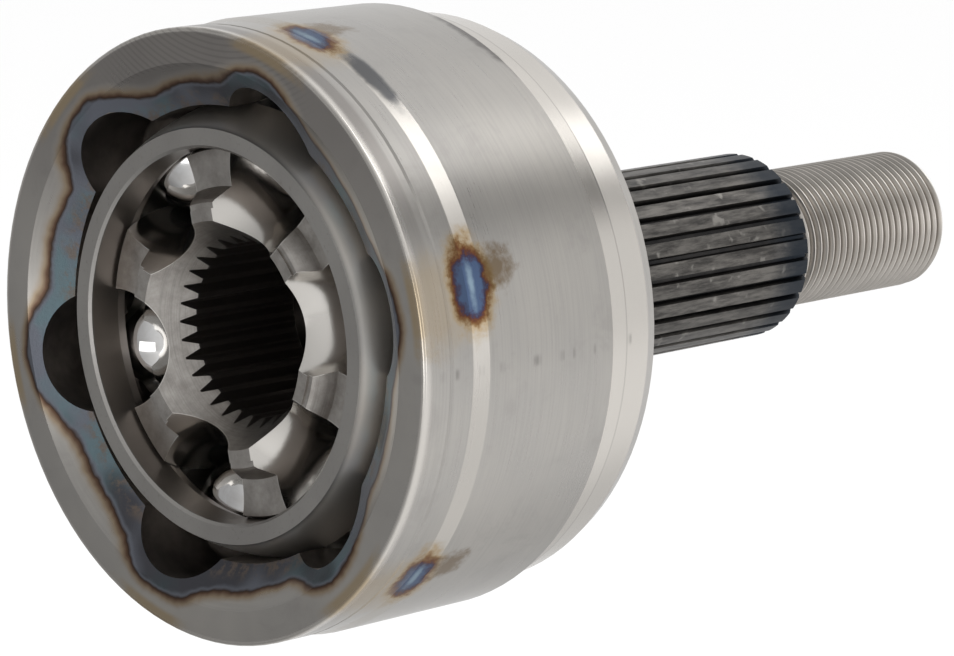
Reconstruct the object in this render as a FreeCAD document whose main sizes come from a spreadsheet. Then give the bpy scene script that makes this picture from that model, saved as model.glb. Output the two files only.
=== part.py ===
"""Fixed constant-velocity joint: bell with its stub shaft, ball cage, inner race and six balls.

The joint axis lies along X. The open mouth of the bell faces -X and the threaded stub points
to +X. The origin is the articulation centre, where the spherical seats share their middle.
All lengths are millimetres and all angles are degrees.
"""
import FreeCAD, Part
import math
import os
import Sketcher

SIZES = {
    # ball tracks
    "track_count": 6,
    "track_phase": -12.5,
    "pitch_radius": 30.5,
    "track_offset": 4,
    "ball_radius": 8.73,
    "track_gap": 0.12,
    "track_back_angle": 48,
    # spherical seats and cage
    "seat_gap": 0.1,
    "cage_radius": 33.8,
    "cage_wall": 4.9,
    "cage_front": 16.4,
    "cage_rear": 14,
    "cage_entry_radius": 26.7,
    "cage_edge": 0.4,
    "window_gap": 0.4,
    "window_side_room": 1.8,
    "window_corner": 3,
    # inner race
    "race_half_width": 12,
    "collar_reach": 3.1,
    "collar_foot_radius": 20.9,
    "collar_radius": 19.3,
    "collar_edge": 0.4,
    "collar_step_radius": 18.1,
    "collar_step": 0.25,
    "bore_root_radius": 13.75,
    "bore_tooth_depth": 1.15,
    "bore_teeth": 32,
    "bore_root_width": 0.3,
    "bore_gap_width": 1.75,
    "bore_lead_radius": 16.3,
    "bore_lead_depth": 6.7,
    "bore_exit_chamfer": 1.4,
    # bell
    "mouth_depth": 18,
    "mouth_edge": 0.5,
    "funnel_radius": 38.8,
    "funnel_depth": 3.8,
    "lip_height": 1.3,
    "cavity_depth": 29,
    "band_radius": 43.8,
    "band_length": 9.3,
    "seam_place": 5.1,
    "seam_width": 0.6,
    "seam_depth": 0.3,
    "ramp_length": 2.7,
    "bell_radius": 44.25,
    "bell_length": 24.4,
    "step_run": 0.8,
    "rear_step": 1.35,
    "rear_length": 3.6,
    "ledge_step": 0.4,
    "ledge_run": 0.2,
    "ledge_length": 4.9,
    "ledge_fall": 0.3,
    "rear_chamfer_length": 2.2,
    "rear_chamfer_depth": 0.9,
    # back of the bell and stub shaft
    "back_radius": 30,
    "back_length": 7.9,
    "boss_radius": 23,
    "boss_taper": 5,
    "boss_length": 3,
    "pilot_step": 0.5,
    "pilot_length": 8,
    "spline_radius": 14.5,
    "spline_length": 41.5,
    "spline_depth": 1.1,
    "spline_teeth": 28,
    "spline_gap_width": 1.3,
    "spline_root_width": 0.5,
    "spline_chamfer": 0.6,
    "neck_depth": 0.8,
    "neck_length": 3.2,
    "thread_radius": 11,
    "thread_length": 35,
    "end_chamfer": 1.2,
    "centre_drill_radius": 3,
    "centre_drill_depth": 5.2,
}
FULL_TURN = 360
OVERRUN = 1.0
SAME_PLACE = 1e-4


class Size:
    """A number together with the sheet formula that gives it."""

    def __init__(self, number, formula):
        self.number = float(number)
        self.formula = formula

    def __add__(self, other):
        other = as_size(other)
        return Size(self.number + other.number, f"({self.formula} + {other.formula})")

    def __sub__(self, other):
        other = as_size(other)
        return Size(self.number - other.number, f"({self.formula} - {other.formula})")

    def __mul__(self, factor):
        factor = as_size(factor)
        return Size(self.number * factor.number, f"({self.formula} * {factor.formula})")

    def __neg__(self):
        return Size(-self.number, f"(-1 * {self.formula})")


def as_size(value):
    return value if isinstance(value, Size) else Size(value, repr(value))


def root_of_squares(whole, leg):
    """The other leg of a right triangle, as on a circle cut at a given distance."""
    number = math.sqrt(whole.number ** 2 - leg.number ** 2)
    return Size(number, f"sqrt({whole.formula} ^ 2 - {leg.formula} ^ 2)")


def hypotenuse(first, second):
    number = math.hypot(first.number, second.number)
    return Size(number, f"sqrt({first.formula} ^ 2 + {second.formula} ^ 2)")


doc = FreeCAD.newDocument("cv_joint")
sheet = doc.addObject("Spreadsheet::Sheet", "Sizes")
for row, (alias, number) in enumerate(SIZES.items(), start=1):
    sheet.set(f"A{row}", alias)
    sheet.set(f"B{row}", str(number))
    sheet.setAlias(f"B{row}", alias)
doc.recompute()
D = {alias: Size(number, f"Sizes.{alias}") for alias, number in SIZES.items()}

# Radii that two pieces share.
TRACK_ARM = hypotenuse(D["pitch_radius"], D["track_offset"])
TRACK_RADIUS = D["ball_radius"] + D["track_gap"]
BELL_SEAT = D["cage_radius"] + D["seat_gap"]
CAGE_BORE = D["cage_radius"] - D["cage_wall"]
RACE_SEAT = CAGE_BORE - D["seat_gap"]


def origin_feature(body, role):
    return next(item for item in body.Origin.OriginFeatures if item.Role == role)


def new_body(label):
    body = doc.addObject("PartDesign::Body", label)
    body.Label = label
    doc.recompute()
    return body


def new_sketch(body, name, role, offset=None):
    """A sketch on one of the body's own planes, moved along the plane's normal if asked."""
    sketch = body.newObject("Sketcher::SketchObject", name)
    sketch.AttachmentSupport = [(origin_feature(body, role), "")]
    sketch.MapMode = "FlatFace"
    if offset is not None:
        sketch.setExpression("AttachmentOffset.Base.z", offset.formula)
    return sketch


def bind(sketch, kind, places, size):
    """Adds one dimension to a sketch and ties it to the sheet."""
    index = sketch.addConstraint(Sketcher.Constraint(kind, *places, size.number))
    if "Sizes." in size.formula:
        sketch.setExpression(f"Constraints[{index}]", size.formula)


def place_point(sketch, geometry, vertex, across, up):
    """Ties a point to the sketch origin; a plain number is a first guess and stays free."""
    for kind, value in (("DistanceX", across), ("DistanceY", up)):
        if isinstance(value, Size):
            bind(sketch, kind, (-1, 1, geometry, vertex), value)


def guess(value):
    return value.number if isinstance(value, Size) else value


def draw_outline(sketch, corners, arcs=None):
    """A closed outline through the corners; arcs maps a side's number to its radius.

    Every arc is centred on the sketch origin and gives each of its ends one coordinate, so
    such a corner has one Size and one first guess.
    """
    arcs = arcs or {}
    count = len(corners)
    points = [FreeCAD.Vector(guess(across), guess(up), 0) for across, up in corners]
    for side in range(count):
        start, end = points[side], points[(side + 1) % count]
        if side in arcs:
            circle = Part.Circle(FreeCAD.Vector(), FreeCAD.Vector(0, 0, 1), arcs[side].number)
            angles = sorted(math.atan2(point.y, point.x) for point in (start, end))
            sketch.addGeometry(Part.ArcOfCircle(circle, *angles))
        else:
            sketch.addGeometry(Part.LineSegment(start, end))

    def vertex(side, at_start):
        """An arc runs anticlockwise, so its start may be the side's end."""
        if side not in arcs:
            return 1 if at_start else 2
        start, end = points[side], points[(side + 1) % count]
        forward = math.atan2(start.y, start.x) < math.atan2(end.y, end.x)
        return 1 if at_start == forward else 2

    for side in range(count):
        following = (side + 1) % count
        joint = (side, vertex(side, False), following, vertex(following, True))
        sketch.addConstraint(Sketcher.Constraint("Coincident", *joint))
    for side, radius in arcs.items():
        sketch.addConstraint(Sketcher.Constraint("Coincident", side, 3, -1, 1))
        bind(sketch, "Radius", (side,), radius)
    for side, (across, up) in enumerate(corners):
        place_point(sketch, side, vertex(side, True), across, up)


def draw_circle(sketch, across, radius):
    """A circle centred on the sketch's horizontal axis."""
    centre = FreeCAD.Vector(across.number, 0, 0)
    circle = sketch.addGeometry(Part.Circle(centre, FreeCAD.Vector(0, 0, 1), radius.number))
    bind(sketch, "DistanceX", (-1, 1, circle, 3), across)
    sketch.addConstraint(Sketcher.Constraint("PointOnObject", circle, 3, -1))
    bind(sketch, "Radius", (circle,), radius)


def turn(body, name, corners, arcs=None, cut=False):
    """Revolves an outline in the XY plane about the joint axis, as a solid or as a cut."""
    sketch = new_sketch(body, f"{name}_profile", "XY_Plane")
    draw_outline(sketch, corners, arcs)
    feature = body.newObject("PartDesign::Groove" if cut else "PartDesign::Revolution", name)
    feature.Profile = sketch
    feature.ReferenceAxis = (sketch, ["H_Axis"])
    feature.Angle = FULL_TURN
    body.Tip = feature
    doc.recompute()


def repeat_about_axis(body, name, feature, count):
    pattern = body.newObject("PartDesign::PolarPattern", name)
    pattern.Originals = [feature]
    pattern.Axis = (origin_feature(body, "X_Axis"), [""])
    pattern.Angle = FULL_TURN
    pattern.Occurrences = int(count.number)
    pattern.setExpression("Occurrences", count.formula)
    body.Tip = pattern
    doc.recompute()


def cut_tracks(body, centre, forward, backward):
    """Cuts the ball tracks: a round section swung about a point on the joint axis.

    forward is the swing towards the mouth and backward the swing towards the stub.
    """
    sketch = new_sketch(body, "track_section", "YZ_Plane", centre)
    draw_circle(sketch, TRACK_ARM, TRACK_RADIUS)
    track = body.newObject("PartDesign::Groove", "track")
    track.Profile = sketch
    track.ReferenceAxis = (sketch, ["V_Axis"])
    track.Type = "TwoAngles"
    track.setExpression("Angle", forward.formula)
    track.setExpression("Angle2", backward.formula)
    body.Tip = track
    doc.recompute()
    repeat_about_axis(body, "tracks", track, D["track_count"])


def cut_teeth(body, name, plane_x, length, outline, count):
    """Cuts one tooth gap along the axis towards the mouth and repeats it round the axis."""
    sketch = new_sketch(body, f"{name}_section", "YZ_Plane", plane_x)
    draw_outline(sketch, outline)
    gap = body.newObject("PartDesign::Pocket", f"{name}_gap")
    gap.Profile = sketch
    gap.Type = "Length"
    gap.Reversed = False
    gap.setExpression("Length", length.formula)
    body.Tip = gap
    doc.recompute()
    repeat_about_axis(body, f"{name}_teeth", gap, count)


def tooth_gap(bottom, top, bottom_width, top_width):
    """A straight-flanked gap, symmetric about the sketch's horizontal axis."""
    return [(bottom, bottom_width * -0.5), (top, top_width * -0.5),
            (top, top_width * 0.5), (bottom, bottom_width * 0.5)]


def circle_edges(shape, across, radius):
    """Names of the round edges that lie at one place along the axis with one radius."""
    names = []
    for number, edge in enumerate(shape.Edges, start=1):
        curve = edge.Curve
        if isinstance(curve, Part.Circle) and abs(curve.Center.x - across) < SAME_PLACE:
            if abs(curve.Radius - radius) < SAME_PLACE:
                names.append(f"Edge{number}")
    return names


def straight_edges(shape):
    """Names of the straight edges, such as the corners of a window cut through a ring."""
    return [f"Edge{number}" for number, edge in enumerate(shape.Edges, start=1)
            if isinstance(edge.Curve, Part.Line)]


def make_outer_race():
    """The bell, its lobed mouth and spherical seat, and the splined and threaded stub."""
    body = new_body("outer_race")
    zero = as_size(0)
    mouth = -D["mouth_depth"]
    seam = mouth + D["seam_place"]
    ramp = mouth + D["band_length"]
    bell = ramp + D["ramp_length"]
    step = bell + D["bell_length"]
    rear = step + D["step_run"]
    rear_end = rear + D["rear_length"]
    ledge = rear_end + D["ledge_run"]
    ledge_end = ledge + D["ledge_length"]
    back = ledge_end + D["rear_chamfer_length"]
    flank = back + D["back_length"]
    boss = flank + D["boss_taper"]
    shoulder = boss + D["boss_length"]
    spline = shoulder + D["pilot_length"]
    spline_end = spline + D["spline_length"]
    thread = spline_end + D["neck_length"]
    tip = thread + D["thread_length"]
    rear_radius = D["bell_radius"] - D["rear_step"]
    ledge_radius = rear_radius - D["ledge_step"]
    ledge_end_radius = ledge_radius - D["ledge_fall"]
    spline_root = D["spline_radius"] - D["spline_depth"]
    neck_radius = D["thread_radius"] - D["neck_depth"]
    half_seam = D["seam_width"] * 0.5
    turn(body, "blank", [
        (mouth, zero),
        (mouth, D["band_radius"]),
        (seam - half_seam, D["band_radius"]),
        (seam, D["band_radius"] - D["seam_depth"]),
        (seam + half_seam, D["band_radius"]),
        (ramp, D["band_radius"]),
        (bell, D["bell_radius"]),
        (step, D["bell_radius"]),
        (rear, rear_radius),
        (rear_end, rear_radius),
        (ledge, ledge_radius),
        (ledge_end, ledge_end_radius),
        (back, ledge_end_radius - D["rear_chamfer_depth"]),
        (flank, D["back_radius"]),
        (boss, D["boss_radius"]),
        (shoulder, D["boss_radius"]),
        (shoulder, D["spline_radius"] + D["pilot_step"]),
        (spline, D["spline_radius"] + D["pilot_step"]),
        (spline, D["spline_radius"]),
        (spline_end - D["spline_chamfer"], D["spline_radius"]),
        (spline_end, D["spline_radius"] - D["spline_chamfer"]),
        (spline_end, neck_radius),
        (thread, neck_radius),
        (thread + D["neck_depth"], D["thread_radius"]),
        (tip - D["end_chamfer"], D["thread_radius"]),
        (tip, D["thread_radius"] - D["end_chamfer"]),
        (tip, D["centre_drill_radius"]),
        (tip - D["centre_drill_depth"], zero),
    ])
    blank = body.Tip
    rim = circle_edges(blank.Shape, mouth.number, D["band_radius"].number)
    rounding = body.newObject("PartDesign::Fillet", "mouth_rounding")
    rounding.Base = (blank, rim)
    rounding.setExpression("Radius", D["mouth_edge"].formula)
    body.Tip = rounding
    doc.recompute()
    lip_radius = BELL_SEAT - D["lip_height"]
    lip = -root_of_squares(BELL_SEAT, lip_radius)
    turn(body, "cavity", [
        (mouth - OVERRUN, zero),
        (mouth - OVERRUN, D["funnel_radius"]),
        (mouth, D["funnel_radius"]),
        (mouth + D["funnel_depth"], lip_radius),
        (lip.number, lip_radius),
        (D["cavity_depth"], root_of_squares(BELL_SEAT, D["cavity_depth"]).number),
        (D["cavity_depth"], zero),
    ], arcs={4: BELL_SEAT}, cut=True)
    cut_tracks(body, -D["track_offset"], as_size(90), D["track_back_angle"])
    outline = tooth_gap(spline_root, D["spline_radius"] + D["pilot_step"],
                        D["spline_root_width"], D["spline_gap_width"])
    cut_teeth(body, "spline", spline_end, D["spline_length"], outline, D["spline_teeth"])
    return body


def make_cage():
    """The spherical ring with one window for each ball."""
    body = new_body("cage")
    edge = D["cage_edge"]
    front = -D["cage_front"]
    entry = root_of_squares(CAGE_BORE, D["cage_entry_radius"])
    front_radius = root_of_squares(D["cage_radius"], D["cage_front"])
    turn(body, "ring", [
        (front, D["cage_entry_radius"] + edge),
        (front, front_radius.number),
        (D["cage_rear"], root_of_squares(D["cage_radius"], D["cage_rear"]).number),
        (D["cage_rear"], root_of_squares(CAGE_BORE, D["cage_rear"]).number),
        (-entry.number, D["cage_entry_radius"]),
        (front + edge, D["cage_entry_radius"]),
    ], arcs={1: D["cage_radius"], 3: CAGE_BORE})
    sketch = new_sketch(body, "window_section", "XZ_Plane")
    half_width = D["ball_radius"] + D["window_gap"]
    half_length = D["ball_radius"] + D["window_side_room"]
    draw_outline(sketch, [(-half_width, -half_length), (half_width, -half_length),
                          (half_width, half_length), (-half_width, half_length)])
    window = body.newObject("PartDesign::Pocket", "window")
    window.Profile = sketch
    window.Type = "Length"
    window.setExpression("Length", (D["cage_radius"] + OVERRUN).formula)
    body.Tip = window
    doc.recompute()
    repeat_about_axis(body, "windows", window, D["track_count"])
    cut_ring = body.Tip
    rounding = body.newObject("PartDesign::Fillet", "window_rounding")
    rounding.Base = (cut_ring, straight_edges(cut_ring.Shape))
    rounding.setExpression("Radius", D["window_corner"].formula)
    body.Tip = rounding
    doc.recompute()
    return body


def make_inner_race():
    """The star-shaped race: six tracks, a stepped collar towards the mouth, a toothed bore."""
    body = new_body("inner_race")
    half = D["race_half_width"]
    front = -half - D["collar_reach"]
    step = front + D["collar_step"]
    crest = D["bore_root_radius"] - D["bore_tooth_depth"]
    seat_edge = root_of_squares(RACE_SEAT, half).number
    turn(body, "blank", [
        (front, D["bore_lead_radius"]),
        (front, D["collar_step_radius"]),
        (step, D["collar_step_radius"]),
        (step, D["collar_radius"] - D["collar_edge"]),
        (step + D["collar_edge"], D["collar_radius"]),
        (-half, D["collar_foot_radius"]),
        (-half, seat_edge),
        (half, seat_edge),
        (half, crest + D["bore_exit_chamfer"]),
        (half - D["bore_exit_chamfer"], crest),
        (front + D["bore_lead_depth"], crest),
    ], arcs={6: RACE_SEAT})
    cut_tracks(body, D["track_offset"], as_size(90), as_size(90))
    outline = tooth_gap(D["bore_root_radius"], crest - D["bore_tooth_depth"],
                        D["bore_root_width"], D["bore_gap_width"] * 2 - D["bore_root_width"])
    cut_teeth(body, "bore", half, half - front, outline, D["bore_teeth"])
    return body


def make_balls():
    """The balls, each a solid of its own on the pitch circle."""
    count = int(D["track_count"].number)
    balls = []
    for number in range(1, count + 1):
        ball = doc.addObject("Part::Sphere", f"ball_{number}")
        ball.Label = f"ball_{number}"
        ball.setExpression("Radius", D["ball_radius"].formula)
        angle = f"(Sizes.track_phase + {number - 1} * {FULL_TURN} / Sizes.track_count)"
        ball.setExpression("Placement.Base.y", f"Sizes.pitch_radius * cos({angle} * 1 deg)")
        ball.setExpression("Placement.Base.z", f"Sizes.pitch_radius * sin({angle} * 1 deg)")
        balls.append(ball)
    doc.recompute()
    return balls


def set_phase(body):
    """Turns a body about the joint axis so that its first track stands at the phase angle."""
    body.setExpression("Placement.Rotation.Axis.x", "1")
    body.setExpression("Placement.Rotation.Axis.y", "0")
    body.setExpression("Placement.Rotation.Axis.z", "0")
    body.setExpression("Placement.Rotation.Angle", "Sizes.track_phase * 1 deg")


pieces = [make_outer_race(), make_cage(), make_inner_race()]
for piece in pieces:
    set_phase(piece)
pieces += make_balls()
doc.recompute()

for item in doc.Objects:
    if "Invalid" in item.State or "Error" in item.State:
        raise RuntimeError(f"{item.Label} failed: {item.State}")
for piece in pieces:
    if piece.Shape.isNull() or not piece.Shape.isValid():
        raise RuntimeError(f"{piece.Label} has no valid shape")
    if len(piece.Shape.Solids) != 1:
        raise RuntimeError(f"{piece.Label} is {len(piece.Shape.Solids)} solids")

os.makedirs("parts", exist_ok=True)
for piece in pieces:
    piece.Shape.exportStep(f"parts/{piece.Label}.step")
    print(piece.Label, round(piece.Shape.Volume, 1), piece.Shape.BoundBox)
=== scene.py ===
"""Looks of the fixed constant-velocity joint: bell and stub, cage, inner race and balls.

The row frame is in metres. The joint axis is X, the open mouth faces -X, the stub points to +X
and the articulation centre is the origin. Shader fields work in millimetres.
"""
import math

import bmesh
import bpy
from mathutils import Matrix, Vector


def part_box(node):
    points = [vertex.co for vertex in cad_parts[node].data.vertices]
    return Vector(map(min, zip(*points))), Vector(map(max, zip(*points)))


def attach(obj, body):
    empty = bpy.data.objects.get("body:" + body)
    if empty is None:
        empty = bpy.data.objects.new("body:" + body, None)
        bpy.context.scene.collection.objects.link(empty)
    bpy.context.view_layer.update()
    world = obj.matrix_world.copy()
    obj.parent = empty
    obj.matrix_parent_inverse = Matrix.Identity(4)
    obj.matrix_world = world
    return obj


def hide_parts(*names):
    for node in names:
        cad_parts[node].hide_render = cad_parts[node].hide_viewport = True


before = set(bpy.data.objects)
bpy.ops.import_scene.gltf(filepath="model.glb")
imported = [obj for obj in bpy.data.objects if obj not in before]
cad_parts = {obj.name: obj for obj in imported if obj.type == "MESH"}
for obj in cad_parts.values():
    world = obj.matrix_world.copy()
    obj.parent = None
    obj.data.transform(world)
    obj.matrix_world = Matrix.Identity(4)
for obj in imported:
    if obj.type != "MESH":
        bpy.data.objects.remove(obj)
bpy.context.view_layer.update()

MM = 0.001

# Where things lie along the axis and round it, as in the solids.
TRACK_COUNT = 6
TRACK_PHASE = math.radians(-12.5)
PITCH_RADIUS = 30.5 * MM
TRACK_OFFSET = 4 * MM
BALL_RADIUS = 8.73 * MM
LIP_RADIUS = 32.6 * MM
BAND_LENGTH = 9.3 * MM
RAMP_LENGTH = 2.7 * MM
REAR_BAND_START = 37.2 * MM
REAR_BAND_END = 40.8 * MM
CAGE_BORE_RADIUS = 28.9 * MM
CAGE_FRONT = -16.4 * MM
BORE_CREST_RADIUS = 12.6 * MM
BORE_LEAD_RADIUS = 16.3 * MM
BORE_LEAD_DEPTH = 6.7 * MM
SPLINE_RADIUS = 14.5 * MM
SPLINE_LENGTH = 41.5 * MM
NECK_RADIUS = 10.2 * MM
THREAD_RADIUS = 11 * MM
THREAD_LENGTH = 35 * MM
END_CHAMFER = 1.2 * MM
CENTRE_DRILL_RADIUS = 3 * MM
CENTRE_DRILL_DEPTH = 5.2 * MM
NECK_LENGTH = 3.2 * MM

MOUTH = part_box("outer_race")[0].x
RACE_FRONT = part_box("inner_race")[0].x
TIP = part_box("outer_race")[1].x
THREAD_START = TIP - THREAD_LENGTH
SPLINE_END = THREAD_START - NECK_LENGTH
SPLINE_START = SPLINE_END - SPLINE_LENGTH

# What counts as the inside of the bell: depths behind the mouth, reach from the axis, how
# squarely a face has to look at the mouth to be the cavity's bottom, and how far a mesh may lie
# off a track's true wall. The thread's steel starts a little past the spline's end.
CAVITY_START = MOUTH + 3.75 * MM
CAVITY_END = MOUTH + 50 * MM
CAVITY_REACH = 40.5 * MM
BOTTOM_FACING = -0.5
TRACK_TOLERANCE = 0.3 * MM
SPLINE_END_ALLOWANCE = 0.05 * MM

# The bell's material slots, and the sharpest turn in degrees that is shaded smooth on each.
TURNED, CAVITY, SPLINE, THREAD = range(4)
SMOOTH_LIMITS = (7, 20, 24, 24)
THREAD_SMOOTH_LIMIT = 24

# Places and sizes for the shader fields, in millimetres and radians. First the mouth's place
# along the axis, and the radii between which marks of the face give way to marks of the outside.
FACE_X = MOUTH / MM
RIM_START, RIM_END = 42.0, 43.0

# Heat spots: distance behind the mouth, reach along the axis and round it, turn from the track.
SPOT_DEPTH = 10.2
SPOT_REACH = (2.4, 4.0)
SPOT_TURN = math.radians(-3)

# The smoke mark behind each spot: distance from it, reach, turn and sideways shift.
SMOKE_DEPTH = 4.8
SMOKE_REACH = (3.8, 3.2)
SMOKE_TURN = math.radians(-4)
SMOKE_SHIFT = 1.0

# The hardening scale: how far out the middle of a lobe's arc lies, the arc's radius, the
# clearance from the lands, the width its colours span, and the depths where it fades out.
LOBE_MIDDLE = 28.2
LOBE_RADIUS = 9.2
LAND_CLEARANCE = 0.9
SCALE_SPAN = 8.0
SCALE_FADE = (6.5, 4.5)

# The milling marks on the face are arcs about this point, this far apart.
CHATTER_Y, CHATTER_Z = -4.0, 70.0
CHATTER_STEP = 0.85

# The rear band's painted highlight, a lighter tint of the same steel, ends with the ledge behind
# it.
# Painted shade darkens the small steps before and after the band: distance from it, and share of
# painted shade. Then how softly a painted highlight starts, and the depths between which the
# painted highlight on the rim of the mouth fades out.
LEDGE_FADE = (5.3, 4.9)
STEP_BEFORE, STEP_BEFORE_SHADE = 0.45, 0.45
STEP_AFTER, STEP_AFTER_SHADE = 0.1, 0.3
EDGE_SOFTNESS = 0.2
RIM_HIGHLIGHT_FADE = (1.7, 0.6)

# The thread on the stub's end: M22 x 1.5.
THREAD_PITCH = 1.5 * MM
THREAD_DEPTH = 0.92 * MM
THREAD_CREST = 0.125
THREAD_ROOT = 0.25
THREAD_ROWS = 12
THREAD_COLUMNS = 144
WELD_DISTANCE = 0.002 * MM
COLLAPSE_DISTANCE = 0.001 * MM

# The photographer's place.
VIEW_AZIMUTH = math.radians(-45.36)
VIEW_ELEVATION = math.radians(10.48)
VIEW_DISTANCE = 0.66
VIEW_AIM = Vector((0.0320, -0.0042, -0.0045))
VIEW_LENS = 168.75

LIGHT_DISTANCE = 0.9
LIGHTS = (
    # name, direction, width, height, radiance
    ("top_softbox", (0.33, -0.42, 0.84), 0.46, 0.46, 2.1),
    ("front_panel", (0.18, -0.95, -0.05), 0.36, 0.85, 1.1),
    ("left_panel", (-0.93, -0.31, -0.12), 0.50, 0.45, 2.1),
)
FLOOR_HEIGHT = -0.17
FLOOR_SIZE = 6
FLOOR_WHITE = 0.98

# The studio as metal mirrors it: its darkest level, how much brighter it gets towards the
# front, and patches with their direction, inner and outer angle in degrees, and brightness.
SURROUND_DARK = 0.45
SURROUND_RISE = 0.53
SURROUND_FRONT = (0.72, -0.69, 0)
SURROUND_PATCHES = (
    ((0.68, -0.48, 0.55), 3, 15, -0.85),
    ((0.81, -0.20, 0.56), 3, 12, 1.4),
    ((0.68, 0.02, 0.73), 4, 18, 0.15),
    ((0.68, 0.10, -0.73), 8, 34, -0.32),
    ((-0.20, 0.66, -0.72), 10, 45, -0.22),
)


# ---------------------------------------------------------------- shader fields

class Field:
    """A number that varies over a surface, as a node socket with arithmetic."""

    def __init__(self, tree, socket):
        self.tree = tree
        self.socket = socket

    def _math(self, operation, *others):
        node = self.tree.nodes.new("ShaderNodeMath")
        node.operation = operation
        for place, value in enumerate((self, *others)):
            if isinstance(value, Field):
                self.tree.links.new(value.socket, node.inputs[place])
            else:
                node.inputs[place].default_value = value
        return Field(self.tree, node.outputs[0])

    def __add__(self, other):
        return self._math("ADD", other)

    def __radd__(self, other):
        return self._math("ADD", other)

    def __sub__(self, other):
        return self._math("SUBTRACT", other)

    def __rsub__(self, other):
        return constant(self.tree, other) - self

    def __mul__(self, other):
        return self._math("MULTIPLY", other)

    def __truediv__(self, other):
        return self._math("DIVIDE", other)

    def least(self, other):
        return self._math("MINIMUM", other)

    def most(self, other):
        return self._math("MAXIMUM", other)

    def softly_least(self, other, blend):
        return self._math("SMOOTH_MIN", other, blend)

    def absolute(self):
        return self._math("ABSOLUTE")

    def power(self, exponent):
        return self._math("POWER", exponent)

    def root(self):
        return self._math("SQRT")

    def cosine(self):
        return self._math("COSINE")

    def sine(self):
        return self._math("SINE")

    def wrapped(self, high, low):
        return self._math("WRAP", high, low)

    def angle_to(self, across):
        """The angle whose tangent is this over across."""
        return self._math("ARCTAN2", across)

    def ramped(self, low, high):
        """Zero below low, one above high and smooth between; low may be above high."""
        node = self.tree.nodes.new("ShaderNodeMapRange")
        node.interpolation_type = "SMOOTHSTEP"
        self.tree.links.new(self.socket, node.inputs["Value"])
        first, last = (0.0, 1.0) if low < high else (1.0, 0.0)
        node.inputs["From Min"].default_value = min(low, high)
        node.inputs["From Max"].default_value = max(low, high)
        node.inputs["To Min"].default_value = first
        node.inputs["To Max"].default_value = last
        return Field(self.tree, node.outputs["Result"])

    def coloured(self, stops):
        """A colour for every value, from (place, (r, g, b)) stops between 0 and 1."""
        node = self.tree.nodes.new("ShaderNodeValToRGB")
        elements = node.color_ramp.elements
        while len(elements) < len(stops):
            elements.new(1.0)
        for element, (place, colour) in zip(elements, stops):
            element.position = place
            element.color = (*colour, 1.0)
        self.tree.links.new(self.socket, node.inputs["Fac"])
        return Tint(self.tree, node.outputs["Color"])


class Tint:
    """A colour that varies over a surface."""

    def __init__(self, tree, socket):
        self.tree = tree
        self.socket = socket

    def mixed(self, other, share):
        """This colour with a share of another laid over it."""
        node = self.tree.nodes.new("ShaderNodeMix")
        node.data_type = "RGBA"
        for name, value in (("Factor", share), ("A", self), ("B", other)):
            socket = next(s for s in node.inputs if s.name == name and s.enabled)
            if isinstance(value, (Field, Tint)):
                self.tree.links.new(value.socket, socket)
            elif isinstance(value, tuple):
                socket.default_value = (*value, 1.0)
            else:
                socket.default_value = value
        output = next(s for s in node.outputs if s.enabled)
        return Tint(self.tree, output)


def constant(tree, number):
    """A number as a field, for a difference that starts with it."""
    node = tree.nodes.new("ShaderNodeValue")
    node.outputs[0].default_value = number
    return Field(tree, node.outputs[0])


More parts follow.
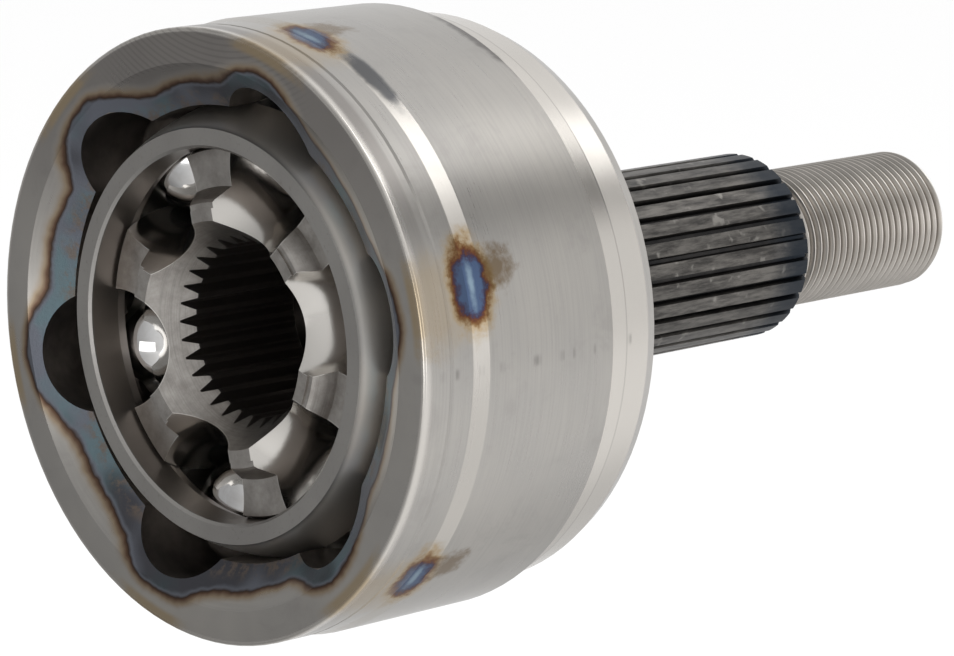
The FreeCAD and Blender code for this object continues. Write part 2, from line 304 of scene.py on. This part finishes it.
class Surface:
    """A metal material under construction, with the fields that most surfaces need."""

    def __init__(self, name):
        self.material = bpy.data.materials.new(name)
        self.material.use_nodes = True
        self.tree = self.material.node_tree
        self.shader = self.tree.nodes["Principled BSDF"]
        self.shader.inputs["Metallic"].default_value = 1.0
        place = self.tree.nodes.new("ShaderNodeTexCoord")
        millimetres = self.tree.nodes.new("ShaderNodeVectorMath")
        millimetres.operation = "SCALE"
        millimetres.inputs["Scale"].default_value = 1 / MM
        self.tree.links.new(place.outputs["Object"], millimetres.inputs[0])
        self.point = millimetres.outputs[0]
        split = self.tree.nodes.new("ShaderNodeSeparateXYZ")
        self.tree.links.new(self.point, split.inputs[0])
        self.x, self.y, self.z = (Field(self.tree, output) for output in split.outputs)
        self.radius = (self.y * self.y + self.z * self.z).root()
        self.angle = self.z.angle_to(self.y)

    def vector(self, x, y, z):
        """Coordinates put together from fields or numbers."""
        node = self.tree.nodes.new("ShaderNodeCombineXYZ")
        for socket, value in zip(node.inputs, (x, y, z)):
            if isinstance(value, Field):
                self.tree.links.new(value.socket, socket)
            else:
                socket.default_value = value
        return node.outputs[0]

    def noise(self, scale, detail=2.0, roughness=0.5, at=None, distortion=0.0):
        """Cloudy noise about one half; scale is in waves per millimetre."""
        node = self.tree.nodes.new("ShaderNodeTexNoise")
        node.inputs["Scale"].default_value = scale
        node.inputs["Detail"].default_value = detail
        node.inputs["Roughness"].default_value = roughness
        node.inputs["Distortion"].default_value = distortion
        self.tree.links.new(at or self.point, node.inputs["Vector"])
        return Field(self.tree, node.outputs["Fac"])

    def around(self, along_scale, round_scale):
        """Coordinates for marks drawn out round the axis, as a lathe leaves them."""
        return self.vector(self.x * along_scale, self.y * round_scale, self.z * round_scale)

    def spun_face(self, radial_scale, round_scale):
        """Coordinates for turned marks on a face that is square to the axis."""
        return self.vector(self.radius * radial_scale, self.y * round_scale,
                           self.z * round_scale)

    def track_angle(self, turn=0.0):
        """The angle from the nearest ball track, within half a track's share each way."""
        half = math.pi / TRACK_COUNT
        return (self.angle - (TRACK_PHASE + turn)).wrapped(half, -half)

    def past_groove(self, offset):
        """Distance in from the wall of the nearest ball groove, whose arc is offset in x."""
        folded = self.track_angle()
        out = self.radius * folded.cosine()
        side = self.radius * folded.sine()
        along = self.x - offset / MM
        arm = math.hypot(PITCH_RADIUS, TRACK_OFFSET) / MM
        off_arc = (along * along + out * out).root() - arm
        return (off_arc * off_arc + side * side).root() - BALL_RADIUS / MM

    def patch(self, x, degrees, length, width, rough=0.0, scale=0.5):
        """One in the middle of an oval mark on the outside, falling to zero past its edge."""
        along = (self.x - x) / (length / 2)
        middle = math.radians(degrees)
        across = (self.angle - middle).wrapped(math.pi, -math.pi) * self.radius / (width / 2)
        reach = (along * along + across * across).root()
        if rough:
            reach = reach + (self.noise(scale, detail=4.0, roughness=0.65) - 0.5) * rough
        return reach.ramped(1.3, 0.6)

    def bump(self, height, strength, distance=0.1):
        """Height in millimetres times distance, on top of any bump already there."""
        node = self.tree.nodes.new("ShaderNodeBump")
        node.inputs["Strength"].default_value = strength
        node.inputs["Distance"].default_value = distance * MM
        self.tree.links.new(height.socket, node.inputs["Height"])
        normal = self.shader.inputs["Normal"]
        if normal.is_linked:
            self.tree.links.new(normal.links[0].from_socket, node.inputs["Normal"])
        self.tree.links.new(node.outputs["Normal"], normal)

    def stretch_highlights(self, amount):
        """Anisotropy along the lathe marks."""
        tangent = self.tree.nodes.new("ShaderNodeTangent")
        tangent.direction_type = "RADIAL"
        tangent.axis = "X"
        self.shader.inputs["Anisotropic"].default_value = amount
        self.tree.links.new(tangent.outputs[0], self.shader.inputs["Tangent"])

    def finish(self, colour, roughness):
        """The material, once its colour and roughness are on the shader."""
        self.tree.links.new(colour.socket, self.shader.inputs["Base Color"])
        self.tree.links.new(roughness.socket, self.shader.inputs["Roughness"])
        return self.material


# ---------------------------------------------------------------- materials

STEEL_WARM = (0.42, 0.40, 0.372)
STEEL_COOL = (0.365, 0.352, 0.335)
DIRT_AND_SHADE = (0.10, 0.092, 0.088)
STRAW = (0.36, 0.275, 0.17)
BROWN = (0.115, 0.045, 0.022)
PURPLE = (0.050, 0.038, 0.064)
BLUE = (0.062, 0.092, 0.162)
PALE_BLUE = (0.21, 0.285, 0.35)
SCALE_EDGE = (0.052, 0.034, 0.026)
SCALE_GREY = (0.15, 0.16, 0.187)
SCALE_TEAL = (0.128, 0.192, 0.212)
CRUST = (0.17, 0.135, 0.11)
SOOT = (0.04, 0.037, 0.04)
SMOKE = (0.14, 0.09, 0.04)
AMBER = (0.19, 0.11, 0.05)
RUST = (0.13, 0.08, 0.055)
TAN = (0.30, 0.235, 0.165)
WARM_STRAW = (0.37, 0.285, 0.175)
BURN_STREAK = (0.04, 0.045, 0.055)
LATHE_LINE = (0.27, 0.26, 0.25)
SMEAR = (0.29, 0.275, 0.262)
REAR_BAND_HIGHLIGHT = (0.61, 0.58, 0.54)
RIM_HIGHLIGHT = (0.66, 0.63, 0.59)
SLOPE_HIGHLIGHT = (0.50, 0.475, 0.44)
FACE_SHADE = (0.20, 0.185, 0.175)
CAVITY_DARK = (0.12, 0.108, 0.10)
CAVITY_LIGHT = (0.30, 0.27, 0.245)
OILY_BLACK = (0.020, 0.020, 0.021)
OILY_GREY = (0.055, 0.052, 0.05)
RUBBED_DARK = (0.055, 0.052, 0.049)
RUBBED_LIGHT = (0.165, 0.155, 0.143)
WORN_CREST = (0.33, 0.315, 0.29)
BLUED_END = (0.018, 0.024, 0.033)
THREAD_DARK = (0.42, 0.395, 0.365)
THREAD_LIGHT = (0.52, 0.49, 0.455)
THREAD_ROOT_SHADE = (0.10, 0.085, 0.07)
RING_DARK = (0.30, 0.288, 0.275)
RING_LIGHT = (0.36, 0.348, 0.33)
DARK_GRAIN = (0.20, 0.19, 0.18)
CAGE_INSIDE_REFLECTION = (0.33, 0.295, 0.27)
CAGE_SPHERE_HIGHLIGHT = (0.76, 0.735, 0.69)
RACE_DARK = (0.26, 0.242, 0.225)
RACE_LIGHT = (0.43, 0.41, 0.385)
RACE_TRACK = (0.55, 0.53, 0.50)
RACE_BORE_SHADE = (0.24, 0.22, 0.205)
BALL_DARK = (0.58, 0.57, 0.56)
BALL_LIGHT = (0.66, 0.66, 0.66)


def heat_spots(steel, colour):
    """Burn marks left by the track hardening, one on the outside ahead of every track."""
    spot_x = FACE_X + SPOT_DEPTH
    rough = steel.noise(0.42, detail=5.0, roughness=0.68)
    drift = steel.noise(0.045, detail=1.0)
    along = (steel.x - spot_x) / SPOT_REACH[0]
    across = steel.track_angle(SPOT_TURN) * steel.radius / SPOT_REACH[1]
    reach = (along * along + across * across).root() + (rough - 0.5) * 1.5
    reach = reach + (drift - 0.5) * 1.1
    outside = steel.radius.ramped(RIM_START, RIM_END)
    spot = (reach / 2.6).coloured([
        (0.00, BLUE), (0.26, BLUE), (0.36, PURPLE),
        (0.42, BROWN), (0.49, AMBER), (0.58, STRAW), (0.82, STEEL_WARM)])
    colour = colour.mixed(spot, reach.ramped(2.3, 1.3) * outside)
    streak = ((along * 3.2).power(2.0) + across * across).root() + (rough - 0.5) * 1.3
    colour = colour.mixed(PALE_BLUE, streak.ramped(1.1, 0.1) * outside * 0.9)
    # A browner smoke mark trails from each towards the stub.
    along = (steel.x - (spot_x + SMOKE_DEPTH)) / SMOKE_REACH[0]
    across = steel.track_angle(SMOKE_TURN) * steel.radius + SMOKE_SHIFT
    across = across / SMOKE_REACH[1]
    trail = (along * along + across * across).root() + (rough - 0.5) * 2.2
    smoke = trail.ramped(1.25, 0.30) * reach.ramped(0.9, 1.4) * outside
    return colour.mixed(SMOKE, smoke * 0.8)


def opening_scale(steel, colour):
    """Hardening scale round the lobed opening, and how crusty it is at each point."""
    folded = steel.track_angle()
    side = steel.radius * folded.sine()
    out = steel.radius * folded.cosine() - LOBE_MIDDLE
    to_track = (side * side + out * out).root() - LOBE_RADIUS
    to_land = steel.radius - (LIP_RADIUS / MM + LAND_CLEARANCE)
    edge_noise = steel.noise(0.13, detail=3.0, roughness=0.55)
    gap = to_track.softly_least(to_land, 3.0) + (edge_noise - 0.5) * 2.6 + 0.5
    front = steel.x.ramped(*(FACE_X + depth for depth in SCALE_FADE))
    inward = steel.radius.ramped(RIM_END, RIM_START)
    scale = (gap / SCALE_SPAN).coloured([
        (0.00, SCALE_GREY), (0.30, SCALE_GREY), (0.35, SCALE_EDGE), (0.385, RUST),
        (0.45, TAN), (0.60, STEEL_WARM)])
    patches = steel.noise(0.07, detail=3.0, roughness=0.6)
    within = gap.ramped(2.6, 1.9)
    scale = scale.mixed(SCALE_TEAL, patches.ramped(0.48, 0.62) * within * 0.8)
    sooty = steel.noise(0.05, detail=2.0)
    scale = scale.mixed(SOOT, sooty.ramped(0.50, 0.62) * within * 0.7)
    flakes = steel.noise(0.5, detail=6.0, roughness=0.72)
    crust = flakes.ramped(0.45, 0.6) * (to_land + (edge_noise - 0.5) * 3.0).ramped(1.6, -0.2)
    scale = scale.mixed(CRUST, crust * 0.8)
    colour = colour.mixed(scale, gap.ramped(5.0, 3.4) * front * inward)
    return colour, gap.ramped(3.2, 2.3) * front * inward


def chatter(steel):
    """Milling marks in arcs over the upper part of the mouth face."""
    away_y = steel.y - CHATTER_Y
    away_z = steel.z - CHATTER_Z
    away = (away_y * away_y + away_z * away_z).root()
    upper = steel.z.ramped(30.0, 35.0) * steel.y.absolute().ramped(24.0, 14.0)
    on_face = steel.x.ramped(FACE_X + 0.4, FACE_X + 0.2)
    return (away * (2 * math.pi / CHATTER_STEP)).sine() * upper * on_face


def turned_steel():
    """The bell outside and its face: lathe lines, soft clouds, heat tint, a few scuffs, painted
    highlights on rim, ramp and rear band, and painted shade on the steps and the top of the
    face.
    """
    steel = Surface("turned_steel")
    clouds = steel.noise(0.035, detail=3.0, roughness=0.6)
    lines = steel.noise(1.0, detail=3.0, roughness=0.7, at=steel.around(3.0, 0.05))
    fine = steel.noise(1.0, detail=2.0, roughness=0.6, at=steel.around(14.0, 0.2))
    colour = clouds.coloured([(0.3, STEEL_COOL), (0.7, STEEL_WARM)])
    colour = colour.mixed(LATHE_LINE, lines.ramped(0.60, 0.35) * 0.22)
    smears = steel.noise(0.12, detail=5.0, roughness=0.7, distortion=0.4)
    colour = colour.mixed(SMEAR, smears.ramped(0.52, 0.72) * 0.35)
    # Painted highlight: the rear band is a lighter copy of the same steel, and smoother.
    band_start, band_end = (FACE_X + place / MM for place in (REAR_BAND_START, REAR_BAND_END))
    band = steel.x.ramped(band_start - EDGE_SOFTNESS, band_start)
    band = band * steel.x.ramped(*(band_end + place for place in LEDGE_FADE))
    colour = colour.mixed(REAR_BAND_HIGHLIGHT, band * 0.8)
    # Painted shade: the small steps before and after the rear band are darker.
    for step, share in ((band_start - STEP_BEFORE, STEP_BEFORE_SHADE),
                        (band_end + STEP_AFTER, STEP_AFTER_SHADE)):
        off_step = (steel.x - step).absolute()
        colour = colour.mixed(DIRT_AND_SHADE, off_step.ramped(0.45, 0.15) * share)
    # Painted highlight: the rounded rim of the mouth is lighter.
    rim = steel.x.ramped(*(FACE_X + depth for depth in RIM_HIGHLIGHT_FADE))
    rim = rim * steel.radius.ramped(RIM_END, RIM_END + 0.3)
    colour = colour.mixed(RIM_HIGHLIGHT, rim * 0.6)
    # Painted highlight: the ramp behind the front band is a lighter copy of the same steel.
    slope_start = FACE_X + BAND_LENGTH / MM
    slope_end = slope_start + RAMP_LENGTH / MM
    slope_highlight = steel.x.ramped(slope_start - EDGE_SOFTNESS, slope_start)
    slope_highlight = slope_highlight * steel.x.ramped(slope_end + EDGE_SOFTNESS, slope_end - 0.1)
    colour = colour.mixed(SLOPE_HIGHLIGHT, slope_highlight * 0.6)
    shade = steel.z.ramped(4.0, 38.0) * steel.x.ramped(FACE_X + 4.0, FACE_X + 3.0)
    colour = colour.mixed(FACE_SHADE, shade * (1 - rim) * 0.7)
    marks = chatter(steel)
    colour = colour.mixed(DIRT_AND_SHADE, marks.most(0.0) * 0.24)

    # A scuff by the rear band, a burnt streak beside the top spot, and specks in one line.
    scuff = steel.patch(18.8, 112, 3.4, 17, rough=1.3, scale=0.4)
    streak = steel.patch(-6.9, 119, 3.0, 16, rough=0.9, scale=0.3)
    line = steel.noise(1.0, detail=2.0, at=steel.vector(steel.x * 0.45, 7.0, 3.0))
    seam = (steel.angle.absolute() - math.pi).absolute() * steel.radius
    specks = seam.ramped(1.1, 0.2) * line.ramped(0.52, 0.68) * steel.radius.ramped(41.0, 42.0)
    colour = colour.mixed(DIRT_AND_SHADE, scuff * 0.75)
    colour = colour.mixed(DIRT_AND_SHADE, specks * 0.45)
    colour = colour.mixed(BURN_STREAK, streak * 0.82)

    warm = (steel.track_angle(math.radians(-1)) * steel.radius).absolute()
    warm = (warm + (smears - 0.5) * 12.0).ramped(9.0, 3.0) * steel.x.ramped(-7.0, -8.5)
    warm = warm * (0.50 + steel.x.ramped(FACE_X + 1.5, FACE_X) * 0.3)
    colour = colour.mixed(WARM_STRAW, warm * steel.radius.ramped(41.5, 42.5))
    colour = heat_spots(steel, colour)
    colour, crust = opening_scale(steel, colour)
    roughness = 0.20 + lines * 0.07 + clouds * 0.06 + smears * 0.05 + crust * 0.2
    roughness = roughness - (band + rim) * 0.07
    grit = steel.noise(2.2, detail=5.0, roughness=0.7)
    steel.bump(grit * crust, 0.3, 0.2)
    steel.bump(lines * 0.6 + fine * 0.5 + marks * 0.25, 0.12, 0.05)
    steel.stretch_highlights(0.4)
    return steel.finish(colour, roughness)


def cavity_steel():
    """Inside the bell: dark hardened tracks and seat."""
    steel = Surface("cavity_steel")
    clouds = steel.noise(0.12, detail=4.0, roughness=0.6)
    lines = steel.noise(1.0, detail=2.0, at=steel.around(4.0, 0.1))
    colour = clouds.coloured([(0.3, CAVITY_DARK), (0.7, CAVITY_LIGHT)])
    steel.bump(lines, 0.15, 0.05)
    return steel.finish(colour, 0.30 + clouds * 0.2)


def spline_steel():
    """Oiled, smoke-dark spline with paler rubbed crests and a bluish end."""
    steel = Surface("spline_steel")
    streaks = steel.noise(1.0, detail=5.0, roughness=0.7, at=steel.around(0.16, 1.0))
    patches = steel.noise(0.20, detail=5.0, roughness=0.7)
    top = SPLINE_RADIUS / MM
    crest = steel.radius.ramped(top - 0.80, top - 0.10)
    dark = patches.coloured([(0.3, OILY_BLACK), (0.7, OILY_GREY)])
    rubbed = streaks.coloured([(0.38, RUBBED_DARK), (0.62, RUBBED_LIGHT)])
    colour = dark.mixed(rubbed, crest * 0.9)
    worn = steel.noise(0.35, detail=3.0)
    glint = worn.ramped(0.62, 0.74) * crest
    colour = colour.mixed(WORN_CREST, glint * 0.6)
    end = SPLINE_END / MM
    blued = (steel.x + (patches - 0.5) * 6.0).ramped(end - 10.0, end - 3.0)
    colour = colour.mixed(BLUED_END, blued * 0.9)
    steel.bump(patches, 0.3, 0.08)
    return steel.finish(colour, 0.34 + patches * 0.22)


def thread_steel():
    """Bright rolled thread, neck and end face, with painted shade in the thread's roots."""
    steel = Surface("thread_steel")
    clouds = steel.noise(0.15, detail=4.0, roughness=0.6)
    lines = steel.noise(1.0, detail=2.0, at=steel.around(8.0, 0.15))
    crest, start = THREAD_RADIUS / MM, THREAD_START / MM
    # Painted shade: the thread's roots are darker.
    root_shade = steel.radius.ramped(crest - 0.30, crest - 0.85)
    on_thread = steel.x.ramped(start, start + 1.0)
    colour = clouds.coloured([(0.3, THREAD_DARK), (0.7, THREAD_LIGHT)])
    colour = colour.mixed(THREAD_ROOT_SHADE, root_shade * on_thread * 0.85)
    steel.bump(lines, 0.1, 0.03)
    return steel.finish(colour, 0.27 + clouds * 0.08)


def cage_steel():
    """Gritty ground front ring, a painted highlight on the sphere, and a brown-grey painted
    reflection inside.
    """
    steel = Surface("cage_finish")
    clouds = steel.noise(0.08, detail=3.0)
    rings = steel.noise(1.0, detail=2.0, at=steel.spun_face(7.0, 0.3))
    lines = steel.noise(1.0, detail=2.0, at=steel.around(6.0, 0.1))
    grit = steel.noise(1.6, detail=5.0, roughness=0.75)
    colour = clouds.coloured([(0.3, RING_DARK), (0.7, RING_LIGHT)])
    colour = colour.mixed(DARK_GRAIN, grit.ramped(0.56, 0.70) * 0.45)
    bore, front = CAGE_BORE_RADIUS / MM, CAGE_FRONT / MM
    # Painted reflection: the inside of the cage gets a browner tint.
    inside = steel.radius.ramped(bore + 0.7, bore - 0.5)
    behind = steel.x.ramped(front + 0.5, front + 0.8)
    colour = colour.mixed(CAGE_INSIDE_REFLECTION, inside * behind * 0.9)
    # Painted highlight: the outside sphere is a much lighter copy of the ring's steel.
    sphere = steel.radius.ramped(29.5, 30.0) * steel.x.ramped(front + 0.1, front + 0.3)
    colour = colour.mixed(CAGE_SPHERE_HIGHLIGHT, sphere * 0.9)
    steel.bump(rings * 0.3 + lines * 0.3 + grit * 0.5, 0.16, 0.06)
    return steel.finish(colour, 0.27 + grit * 0.14)


def race_steel():
    """Machined faces and collar with fine turned lines, polished tracks, and painted shade in
    the toothed bore.
    """
    steel = Surface("race_finish")
    clouds = steel.noise(0.35, detail=6.0, roughness=0.7)
    rings = steel.noise(1.0, detail=2.0, at=steel.spun_face(6.0, 0.3))
    lines = steel.noise(1.0, detail=2.0, at=steel.around(5.0, 0.1))
    colour = clouds.coloured([(0.3, RACE_DARK), (0.7, RACE_LIGHT)])
    colour = colour.mixed(DARK_GRAIN, lines.ramped(0.55, 0.35) * 0.3)
    polished = steel.past_groove(TRACK_OFFSET).ramped(0.25, 0.12)
    colour = colour.mixed(RACE_TRACK, polished)
    # Painted shade: the toothed bore behind its lead is darker.
    fall = BORE_LEAD_DEPTH / (BORE_LEAD_RADIUS - BORE_CREST_RADIUS)
    lead = RACE_FRONT / MM + (BORE_LEAD_RADIUS / MM - steel.radius) * fall
    toothed_bore_shade = (steel.x - lead).ramped(0.15, 0.5) * steel.radius.ramped(14.4, 14.0)
    colour = colour.mixed(RACE_BORE_SHADE, toothed_bore_shade)
    steel.bump(rings * 0.6 + lines * 0.5, 0.14, 0.05)
    return steel.finish(colour, 0.29 + clouds * 0.08 - polished * 0.17)


def ball_steel():
    """Polished bearing balls with a thin film of oil."""
    steel = Surface("ball_finish")
    smears = steel.noise(0.35, detail=3.0, distortion=0.6)
    colour = smears.coloured([(0.4, BALL_DARK), (0.7, BALL_LIGHT)])
    return steel.finish(colour, 0.05 + smears.ramped(0.5, 0.8) * 0.10)


# ---------------------------------------------------------------- pieces

def new_piece(name, mesh, body):
    """A piece made here, which rides on a body of the part."""
    piece = bpy.data.objects.new(name, mesh)
    bpy.context.scene.collection.objects.link(piece)
    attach(piece, body)
    return piece


def thread_profile(turn):
    """Radius of an external thread, from the share of a pitch past a crest's middle."""
    from_root = abs(turn - 0.5) * 2
    rise = (from_root - THREAD_ROOT) / (1 - THREAD_ROOT - THREAD_CREST)
    return THREAD_RADIUS - THREAD_DEPTH * (1 - min(max(rise, 0.0), 1.0))


def thread_radius(x, turn):
    """The thread's radius where it runs in at the neck and out at the chamfered tip."""
    if x <= THREAD_START:
        return NECK_RADIUS
    run_in = NECK_RADIUS + (x - THREAD_START)
    run_out = THREAD_RADIUS - END_CHAMFER + (TIP - x)
    return min(thread_profile(turn), run_in, run_out)


def make_thread():
    """The threaded end: a helical skin closed by the neck disc and the drilled tip."""
    mesh = bpy.data.meshes.new("stub_thread")
    build = bmesh.new()
    columns = THREAD_COLUMNS
    angles = [2 * math.pi * column / columns for column in range(columns + 1)]

    def ring(x, radius):
        return [build.verts.new((x, radius * math.cos(a), radius * math.sin(a)))
                for a in angles[:-1]]

    turns = int(THREAD_LENGTH / THREAD_PITCH) + 2
    rows = []
    for row in range(-THREAD_ROWS, turns * THREAD_ROWS + 1):
        turn = row / THREAD_ROWS
        line = []
        for column, angle in enumerate(angles):
            x = THREAD_START + (turn + column / columns) * THREAD_PITCH
            x = min(max(x, THREAD_START), TIP)
            radius = thread_radius(x, turn % 1.0)
            line.append(build.verts.new((x, radius * math.cos(angle),
                                         radius * math.sin(angle))))
        rows.append(line)
    for lower, upper in zip(rows, rows[1:]):
        for column in range(columns):
            build.faces.new((lower[column], upper[column],
                             upper[column + 1], lower[column + 1]))
    neck = ring(THREAD_START, NECK_RADIUS)
    rim = ring(TIP, THREAD_RADIUS - END_CHAMFER)
    drill = ring(TIP, CENTRE_DRILL_RADIUS)
    build.faces.new(neck)
    point = build.verts.new((TIP - CENTRE_DRILL_DEPTH, 0, 0))
    for column in range(columns):
        after = (column + 1) % columns
        build.faces.new((rim[column], drill[column], drill[after], rim[after]))
        build.faces.new((drill[column], point, drill[after]))
    bmesh.ops.remove_doubles(build, verts=build.verts, dist=WELD_DISTANCE)
    bmesh.ops.dissolve_degenerate(build, edges=build.edges, dist=COLLAPSE_DISTANCE)
    bmesh.ops.recalc_face_normals(build, faces=build.faces)
    build.to_mesh(mesh)
    build.free()
    smooth_by_angle(mesh, THREAD_SMOOTH_LIMIT)
    piece = new_piece("stub_thread", mesh, "outer_race")
    piece.data.materials.append(thread_steel())


def smooth_by_angle(mesh, degrees):
    """Smooth shading, broken at edges that turn by more than the angle."""
    mesh.polygons.foreach_set("use_smooth", [True] * len(mesh.polygons))
    mesh.set_sharp_from_angle(angle=math.radians(degrees))


def smooth_by_material(build, limits):
    """Smooth shading, broken at edges that turn by more than their surfaces' limit."""
    for face in build.faces:
        face.smooth = True
    for edge in build.edges:
        if len(edge.link_faces) == 2:
            limit = min(limits[face.material_index] for face in edge.link_faces)
            edge.smooth = edge.calc_face_angle() < math.radians(limit)


def make_bell():
    """The forging without its thread, with a material for each kind of surface."""
    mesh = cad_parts["outer_race"].data.copy()
    mesh.name = "bell_and_stub"
    mesh.materials.clear()
    for material in (turned_steel(), cavity_steel(), spline_steel(), thread_steel()):
        mesh.materials.append(material)
    build = bmesh.new()
    build.from_mesh(mesh)
    bmesh.ops.remove_doubles(build, verts=build.verts, dist=COLLAPSE_DISTANCE)
    whole = build.verts[:] + build.edges[:] + build.faces[:]
    cut = bmesh.ops.bisect_plane(build, geom=whole, plane_co=(THREAD_START, 0, 0),
                                 plane_no=(1, 0, 0), clear_outer=True)
    edges = [item for item in cut["geom_cut"] if isinstance(item, bmesh.types.BMEdge)]
    bmesh.ops.holes_fill(build, edges=edges)
    for face in build.faces:
        middle = face.calc_center_median()
        radius = math.hypot(middle.y, middle.z)
        outward = face.normal.y * middle.y + face.normal.z * middle.z
        inward = outward < 0 or face.normal.x < BOTTOM_FACING
        inside = CAVITY_START < middle.x < CAVITY_END and radius < CAVITY_REACH
        if middle.x > SPLINE_END + SPLINE_END_ALLOWANCE:
            face.material_index = THREAD
        elif middle.x > SPLINE_START:
            face.material_index = SPLINE
        elif (inside and inward) or in_track(middle):
            face.material_index = CAVITY
        else:
            face.material_index = TURNED
    smooth_by_material(build, SMOOTH_LIMITS)
    build.to_mesh(mesh)
    build.free()
    piece = new_piece("bell_and_stub", mesh, "outer_race")
    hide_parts("outer_race")


def in_track(point):
    """Whether a point lies on the wall of a ball track."""
    share = 2 * math.pi / TRACK_COUNT
    angle = math.atan2(point.z, point.y) - TRACK_PHASE
    folded = angle - share * round(angle / share)
    radius = math.hypot(point.y, point.z)
    out, side = radius * math.cos(folded), radius * math.sin(folded)
    arm = math.hypot(PITCH_RADIUS, TRACK_OFFSET)
    reach = math.hypot(math.hypot(point.x + TRACK_OFFSET, out) - arm, side)
    return abs(reach - BALL_RADIUS) < TRACK_TOLERANCE


def dress(node, material):
    """Gives a CAD node, kept as it is, a material of its own."""
    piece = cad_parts[node]
    piece.data.materials.clear()
    piece.data.materials.append(material)


make_bell()
make_thread()
dress("cage", cage_steel())
dress("inner_race", race_steel())
ball_finish = ball_steel()
for number in range(1, TRACK_COUNT + 1):
    dress(f"ball_{number}", ball_finish)


# ---------------------------------------------------------------- stage, light, camera

def surround(tree, direction):
    """How bright the studio looks along a direction: white in front, darker at the back."""
    def towards(middle):
        node = tree.nodes.new("ShaderNodeVectorMath")
        node.operation = "DOT_PRODUCT"
        tree.links.new(direction, node.inputs[0])
        node.inputs[1].default_value = Vector(middle).normalized()
        return Field(tree, node.outputs["Value"])

    def blot(middle, inner, outer):
        return towards(middle).ramped(math.cos(math.radians(outer)),
                                      math.cos(math.radians(inner)))

    level = SURROUND_DARK + towards(SURROUND_FRONT).ramped(-0.92, 0.25) * SURROUND_RISE
    for middle, inner, outer, brightness in SURROUND_PATCHES:
        level = level + blot(middle, inner, outer) * brightness
    return level


def seen(tree):
    """One for rays straight from the camera, and one for rays off metal or through glass."""
    rays = tree.nodes.new("ShaderNodeLightPath")
    camera, glossy, through = (
        Field(tree, rays.outputs[name])
        for name in ("Is Camera Ray", "Is Glossy Ray", "Is Transmission Ray"))
    return camera, (glossy + through).least(1.0)


def make_floor():
    """A floor that keeps the object's soft shadow: plain white to the camera, while in metal its
    colour paints the studio surround's light, darker towards the back.
    """
    bpy.ops.mesh.primitive_plane_add(size=FLOOR_SIZE, location=(0, 0, FLOOR_HEIGHT))
    floor = bpy.context.object
    floor.name = "floor"
    material = bpy.data.materials.new("floor_paper")
    material.use_nodes = True
    tree = material.node_tree
    paper = tree.nodes["Principled BSDF"]
    paper.inputs["Roughness"].default_value = 1.0
    paper.inputs["Specular IOR Level"].default_value = 0.0
    place = tree.nodes.new("ShaderNodeTexCoord")
    below = tree.nodes.new("ShaderNodeVectorMath")
    below.operation = "ADD"
    below.inputs[1].default_value = (0, 0, FLOOR_HEIGHT)
    tree.links.new(place.outputs["Object"], below.inputs[0])
    outward = tree.nodes.new("ShaderNodeVectorMath")
    outward.operation = "NORMALIZE"
    tree.links.new(below.outputs[0], outward.inputs[0])
    # Painted light: rays off metal see the surround's levels painted on the floor.
    reflected = seen(tree)[1]
    level = surround(tree, outward.outputs[0]).least(1.0) * reflected
    level = level + (1 - reflected) * FLOOR_WHITE
    tree.links.new(level.socket, paper.inputs["Base Color"])
    floor.data.materials.append(material)


def make_light(name, direction, width, height, radiance):
    """A softbox at arm's length from the object, facing it."""
    data = bpy.data.lights.new(name, "AREA")
    data.shape = "RECTANGLE"
    data.size = width
    data.size_y = height
    data.energy = math.pi * width * height * radiance
    light = bpy.data.objects.new(name, data)
    away = Vector(direction).normalized()
    light.location = VIEW_AIM + away * LIGHT_DISTANCE
    light.rotation_euler = away.to_track_quat("Z", "Y").to_euler()
    bpy.context.scene.collection.objects.link(light)


def make_world():
    """A studio: plain for light, white behind the object, and the surround for metal."""
    world = bpy.data.worlds.new("studio")
    bpy.context.scene.world = world
    world.use_nodes = True
    tree = world.node_tree
    background = tree.nodes["Background"]
    place = tree.nodes.new("ShaderNodeTexCoord")
    camera, reflected = seen(tree)
    level = surround(tree, place.outputs["Generated"]) * reflected + (1 - reflected)
    level = level * (1 - camera) + camera
    tree.links.new(level.socket, background.inputs["Strength"])
    background.inputs["Color"].default_value = (1, 1, 1, 1)


def make_camera():
    """The photographer's camera."""
    data = bpy.data.cameras.new("camera")
    data.lens = VIEW_LENS
    data.sensor_width = 36
    camera = bpy.data.objects.new("camera", data)
    back = Vector((math.sin(VIEW_AZIMUTH) * math.cos(VIEW_ELEVATION),
                   -math.cos(VIEW_AZIMUTH) * math.cos(VIEW_ELEVATION),
                   math.sin(VIEW_ELEVATION)))
    camera.location = VIEW_AIM + back * VIEW_DISTANCE
    camera.rotation_euler = (-back).to_track_quat("-Z", "Y").to_euler()
    data.clip_start = 0.01
    bpy.context.scene.collection.objects.link(camera)
    bpy.context.scene.camera = camera


make_floor()
make_world()
for light in LIGHTS:
    make_light(*light)
make_camera()
bpy.context.scene.view_settings.view_transform = "Standard"
